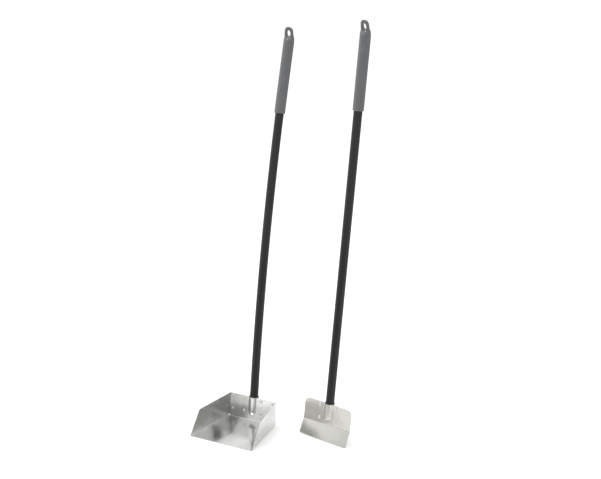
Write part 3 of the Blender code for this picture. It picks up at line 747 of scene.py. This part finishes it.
def buildScrew(tool):
    # pan head with a cross recess, and a thread that bites into the plug
    head, shank, length, pitch = screw["head"], screw["shank"], screw["length"], screw["thread"]
    crown, crownRound = screw["crown"], screw["crownRound"]
    root = shank - screw["threadDepth"]
    profile = [(0, crown), (screw["crownFlat"], crown)]
    profile += arc((head - crownRound, screw["crownBase"]), crownRound, 78, 0, 8)
    profile += [(head, 0), (root, 0)]
    for i in range(int((length - screw["plain"]) / pitch)):
        z = -screw["threadFrom"] - i * pitch
        profile += [(root, z), (shank, z - pitch / 2)]
    profile += [(root - hair, -length + screw["point"]), (0, -length)]
    seat = Vector((0, socket["axisBack"] + cavityRadius + metal + gap, -socket["screwDrop"]))
    place = socketFrame(tool) @ Matrix.Translation(seat) @ Matrix.Rotation(-math.pi / 2, 4, "X")
    name = tool["body"] + "_handle_screw"
    piece = newPiece(name + "_head", spunShape(profile, screw["steps"]), finishes["screw"])
    bars = ((2 * screw["cross"], screw["slot"]), (screw["slot"], 2 * screw["cross"]))
    for size in bars:
        bar = bmesh.new()
        bmesh.ops.create_cube(bar, size=1.0)
        bmesh.ops.scale(bar, vec=(*size, screw["crossHeight"]), verts=bar.verts)
        bmesh.ops.translate(bar, vec=(0, 0, crown), verts=bar.verts)
        cutAway(piece, bar)
    piece.data.transform(place)
    claim(piece, tool, name)


collar = {
    "radius": 0.0124, "flange": 0.0014, "height": 0.0026, "wall": 0.0006, "round": 0.00035,
    "fillet": 0.0003, "steps": 72,
}


def buildCollar(tool):
    inner, outer, flange, height = cavityRadius, collar["radius"], collar["flange"], collar["height"]
    r, neck, fillet = collar["round"], inner + collar["wall"], collar["fillet"]
    profile = [(inner, 0), (outer - r, 0)]
    profile += arc((outer - r, r), r, -90, 0, 4)
    profile += arc((outer - r, flange - r), r, 0, 90, 4)
    profile += [(neck + fillet, flange + hair), (neck, flange + hair + fillet), (neck, height - hair)]
    profile += [(neck - hair, height), (inner, height), (inner, 0)]
    piece = newPiece(tool["body"] + "_collar_ring", spunShape(profile, collar["steps"]), finishes["collar"],
                     matrix=along(tool, gap))
    claim(piece, tool, tool["body"] + "_collar")


def buildTube(tool):
    foot, top = tubeEnds(tool)
    count = math.ceil((top - foot) / tube["ringStep"])
    outer, edge = tube["radius"], tube["edge"]
    rings = [(outer - edge, foot), (outer, foot + edge)]
    rings += [(outer, distance) for distance in spread(foot, top, count)[:-1]]
    rings += [(outer, top - edge), (outer - edge, top)]
    rings += [(outer - tube["wall"], ring[1]) for ring in reversed(rings)]

    def placeRing(ring, turn):
        radius, distance = ring
        return along(tool, distance) @ Vector((radius * math.cos(turn), radius * math.sin(turn), 0))

    shape = loftRings(placeRing, rings, tube["sides"], hollow=True)
    piece = newPiece(tool["body"] + "_painted_tube", shape, finishes["paint"])
    claim(piece, tool, tool["body"] + "_handle_tube")


grip = {
    "radius": 0.0133, "length": 0.209, "tubeTop": 0.040, "sides": 96,
    "tabWidth": 0.0228, "tabThickness": 0.0082, "tabCorner": 0.0108, "tabEdge": 0.0024,
    "tabLean": math.radians(17), "tabRoot": 0.030, "squareness": 3.2,
    "waist": (0.0100, 0.0330), "shoulder": (0.0215, 0.0345), "rearSlope": (0.0180, 0.0385),
    "holeWidth": 0.0114, "holeHeight": 0.0150, "holeDrop": 0.0145, "holeEdge": 0.0011,
    "rimSteps": 6, "holeSteps": 56,
    "lip": 0.0012, "boreLip": 0.3,      # the lip's inner edge as a share of the wall left there
    "rings": (16, 20, 6, 14),           # down the tab, the shoulder, the rear slope and the sleeve
    "smoothUpTo": math.radians(45),
}


def roundedEnd(below, radius):
    if below >= radius:
        return 0.0
    return radius - math.sqrt(radius ** 2 - (radius - below) ** 2)


def tabForward(below):
    # how far the leaning tab's middle stands in front of the handle's axis
    return math.tan(grip["tabLean"]) * max(grip["tabRoot"] - below, 0.0)


def gripSection(below):
    # half width, front, rear and squareness at a distance below the tip
    radius = grip["radius"]
    halfWidth = grip["tabWidth"] / 2 + (radius - grip["tabWidth"] / 2) * ease(share(below, grip["waist"]))
    halfWidth -= roundedEnd(below, grip["tabCorner"])
    halfTab = grip["tabThickness"] / 2 - roundedEnd(below, grip["tabEdge"])
    tabFront = halfTab + tabForward(below)
    tabRear = halfTab - tabForward(below)
    rise = ease(share(below, grip["shoulder"]))
    front = tabFront + (radius - tabFront) * rise
    rear = tabRear + (radius - tabRear) * ease(share(below, grip["rearSlope"]))
    squareness = grip["squareness"] + (2 - grip["squareness"]) * rise
    return halfWidth, front, rear, squareness


def squared(value, exponent):
    return math.copysign(abs(value) ** exponent, value)


def buildGrip(tool):
    corner, lip, length = grip["tabCorner"], grip["lip"], grip["length"]
    sleeveEnd = length - lip
    below = [corner * (1 - math.cos(math.radians(a))) for a in range(0, 91, 6)]
    stops = (corner, *grip["shoulder"], grip["rearSlope"][1], sleeveEnd)
    for start, end, count in zip(stops, stops[1:], grip["rings"]):
        below += spread(start, end, count)
    rings = [("outer", distance, 0.0) for distance in below]
    for degrees in range(15, 91, 15):
        angle = math.radians(degrees)
        rings.append(("outer", sleeveEnd + lip * math.sin(angle), lip * (1 - math.cos(angle))))
    wallLeft = grip["radius"] - lip - cavityRadius
    boreStops = spread(length, grip["tubeTop"] - gap, grip["rings"][-1])
    rings += [("bore", length, wallLeft * grip["boreLip"]), ("bore", length - gap, 0.0)]
    rings += [("bore", distance, 0.0) for distance in boreStops]

    def placeRing(ring, turn):
        kind, distance, inset = ring
        here = along(tool, tool["handle"] - distance)
        if kind == "bore":
            radius = cavityRadius + inset
            return here @ Vector((radius * math.cos(turn), radius * math.sin(turn), 0))
        halfWidth, front, rear, squareness = gripSection(distance)
        x = (halfWidth - inset) * squared(math.cos(turn), 2 / squareness)
        y = ((front + rear) / 2 - inset) * squared(math.sin(turn), 2 / squareness)
        return here @ Vector((x, y + (rear - front) / 2, 0))

    shape = loftRings(placeRing, rings, grip["sides"])
    piece = newPiece(tool["body"] + "_vinyl_grip", shape, finishes["vinyl"])
    cutAway(piece, holeShape(tool))
    smoothShade(piece.data, grip["smoothUpTo"])
    claim(piece, tool, tool["body"] + "_grip")


def holeShape(tool):
    # spool that leaves the hanging hole with rounded rims, one across until it is stretched
    half, edge = grip["tabThickness"] / 2, grip["holeEdge"]
    bore, unit = 0.5, edge / grip["holeWidth"]
    profile = [(0, 3 * half), (bore + 6 * unit, 3 * half), (bore + 1.2 * unit, half + hair)]
    for i in range(grip["rimSteps"] + 1):
        angle = math.radians(90 * i / grip["rimSteps"])
        profile.append((bore + unit * (1 - math.sin(angle)), half - edge * (1 - math.cos(angle))))
    lower = [(radius, -height) for radius, height in reversed(profile)]
    shape = spunShape(profile + lower, grip["holeSteps"])
    bmesh.ops.rotate(shape, matrix=Matrix.Rotation(math.pi / 2, 3, "X"), verts=shape.verts)
    bmesh.ops.scale(shape, vec=(grip["holeWidth"], 1, grip["holeHeight"]), verts=shape.verts)
    drop = grip["holeDrop"]
    place = along(tool, tool["handle"] - drop) @ Matrix.Translation((0, -tabForward(drop), 0))
    bmesh.ops.transform(shape, matrix=place @ Matrix.Rotation(grip["tabLean"], 4, "X"), verts=shape.verts)
    bmesh.ops.recalc_face_normals(shape, faces=shape.faces)
    return shape


buildTray()
buildBlade()
print("heads made")
for tool in (pan, spade):
    buildBracket(tool)
    buildRivets(tool)
    buildCollar(tool)
    buildTube(tool)
    buildScrew(tool)
    buildGrip(tool)
    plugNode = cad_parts[tool["body"] + "_tube_plug"]
    plugNode.data.materials.clear()
    plugNode.data.materials.append(finishes["plug"])
print("handles made")


studio = {
    "floorSize": 40.0, "floorColour": (0.96, 0.96, 0.955), "floorSpeck": (0.97, 0.97, 0.965),
    "world": 1.12, "cardTones": ((0.36, 0.36, 0.365), (0.42, 0.42, 0.425)),
    "camera": Vector((1.4794, -2.6564, 1.4433)), "look": Vector((-0.4575, 0.8366, -0.3014)),
    "focal": 80.12, "sensor": 36.0, "nearest": 0.01,
}


def buildFloor():
    shape = bmesh.new()
    bmesh.ops.create_grid(shape, x_segments=1, y_segments=1, size=studio["floorSize"] / 2)
    finish = Finish("paleFloor", {"Roughness": 0.85, "Specular IOR Level": 0.2})
    speck = finish.noise((90.0, 90.0, 90.0), detail=2.0)
    finish.feed("Base Color", finish.blend(studio["floorColour"], studio["floorSpeck"], speck))
    newPiece("studio_floor", shape, finish.material)


softboxes = {
    # place, what it faces, size and power
    "topBox": ((0.0, 0.4, 3.0), (0, 0, 0), (2.2, 2.2), 14.0),
    "leftBox": ((-2.4, -1.2, 1.6), (0, 0, 0.4), (1.4, 2.2), 9.0),
    "keyBox": ((-0.95, -0.38, 2.45), (0, 0.1, 0.5), (0.20, 0.20), 9.0),
}

flags = {
    # grey cards that only shape reflections: middle, half width and half height, all facing along Y
    "backFlag": ((0.40, 1.30, 0.62), 1.00, 0.50),
    "frontFlag": ((0.27, -0.45, 0.22), 0.47, 0.22),
}


def addSoftbox(name, place, target, size, power):
    data = bpy.data.lights.new(name, "AREA")
    data.shape = "RECTANGLE"
    data.size, data.size_y = size
    data.energy = power
    lamp = bpy.data.objects.new(name, data)
    lamp.location = place
    lamp.rotation_euler = (Vector(target) - Vector(place)).to_track_quat("-Z", "Y").to_euler()
    bpy.context.scene.collection.objects.link(lamp)


def addFlag(name, place, halfWidth, halfHeight, cloth):
    shape = bmesh.new()
    bmesh.ops.create_grid(shape, x_segments=1, y_segments=1, size=1.0)
    bmesh.ops.scale(shape, vec=(halfWidth, halfHeight, 1), verts=shape.verts)
    bmesh.ops.rotate(shape, matrix=Matrix.Rotation(math.pi / 2, 3, "X"), verts=shape.verts)
    flag = newPiece(name, shape, cloth, matrix=Matrix.Translation(place))
    flag.visible_camera = False
    flag.visible_diffuse = False
    flag.visible_shadow = False


def lightStudio():
    world = bpy.data.worlds.new("studio")
    bpy.context.scene.world = world
    world.use_nodes = True
    background = world.node_tree.nodes["Background"]
    background.inputs["Color"].default_value = (1.0, 1.0, 1.0, 1.0)
    background.inputs["Strength"].default_value = studio["world"]
    for name, (place, target, size, power) in softboxes.items():
        addSoftbox(name, place, target, size, power)
    cloth = Finish("flagCloth", {"Roughness": 0.95, "Specular IOR Level": 0.1})
    nap = cloth.noise((400.0, 400.0, 400.0))
    cloth.feed("Base Color", cloth.blend(*studio["cardTones"], nap))
    for name, (place, halfWidth, halfHeight) in flags.items():
        addFlag(name, place, halfWidth, halfHeight, cloth.material)


def placeCamera():
    data = bpy.data.cameras.new("view")
    data.sensor_fit = "HORIZONTAL"
    data.sensor_width = studio["sensor"]
    data.lens = studio["focal"]
    data.clip_start = studio["nearest"]
    camera = bpy.data.objects.new("view", data)
    camera.location = studio["camera"]
    camera.rotation_euler = studio["look"].to_track_quat("-Z", "Y").to_euler()
    bpy.context.scene.collection.objects.link(camera)
    bpy.context.scene.camera = camera


buildFloor()
lightStudio()
placeCamera()
bpy.context.scene.view_settings.view_transform = "Standard"
print("studio made")
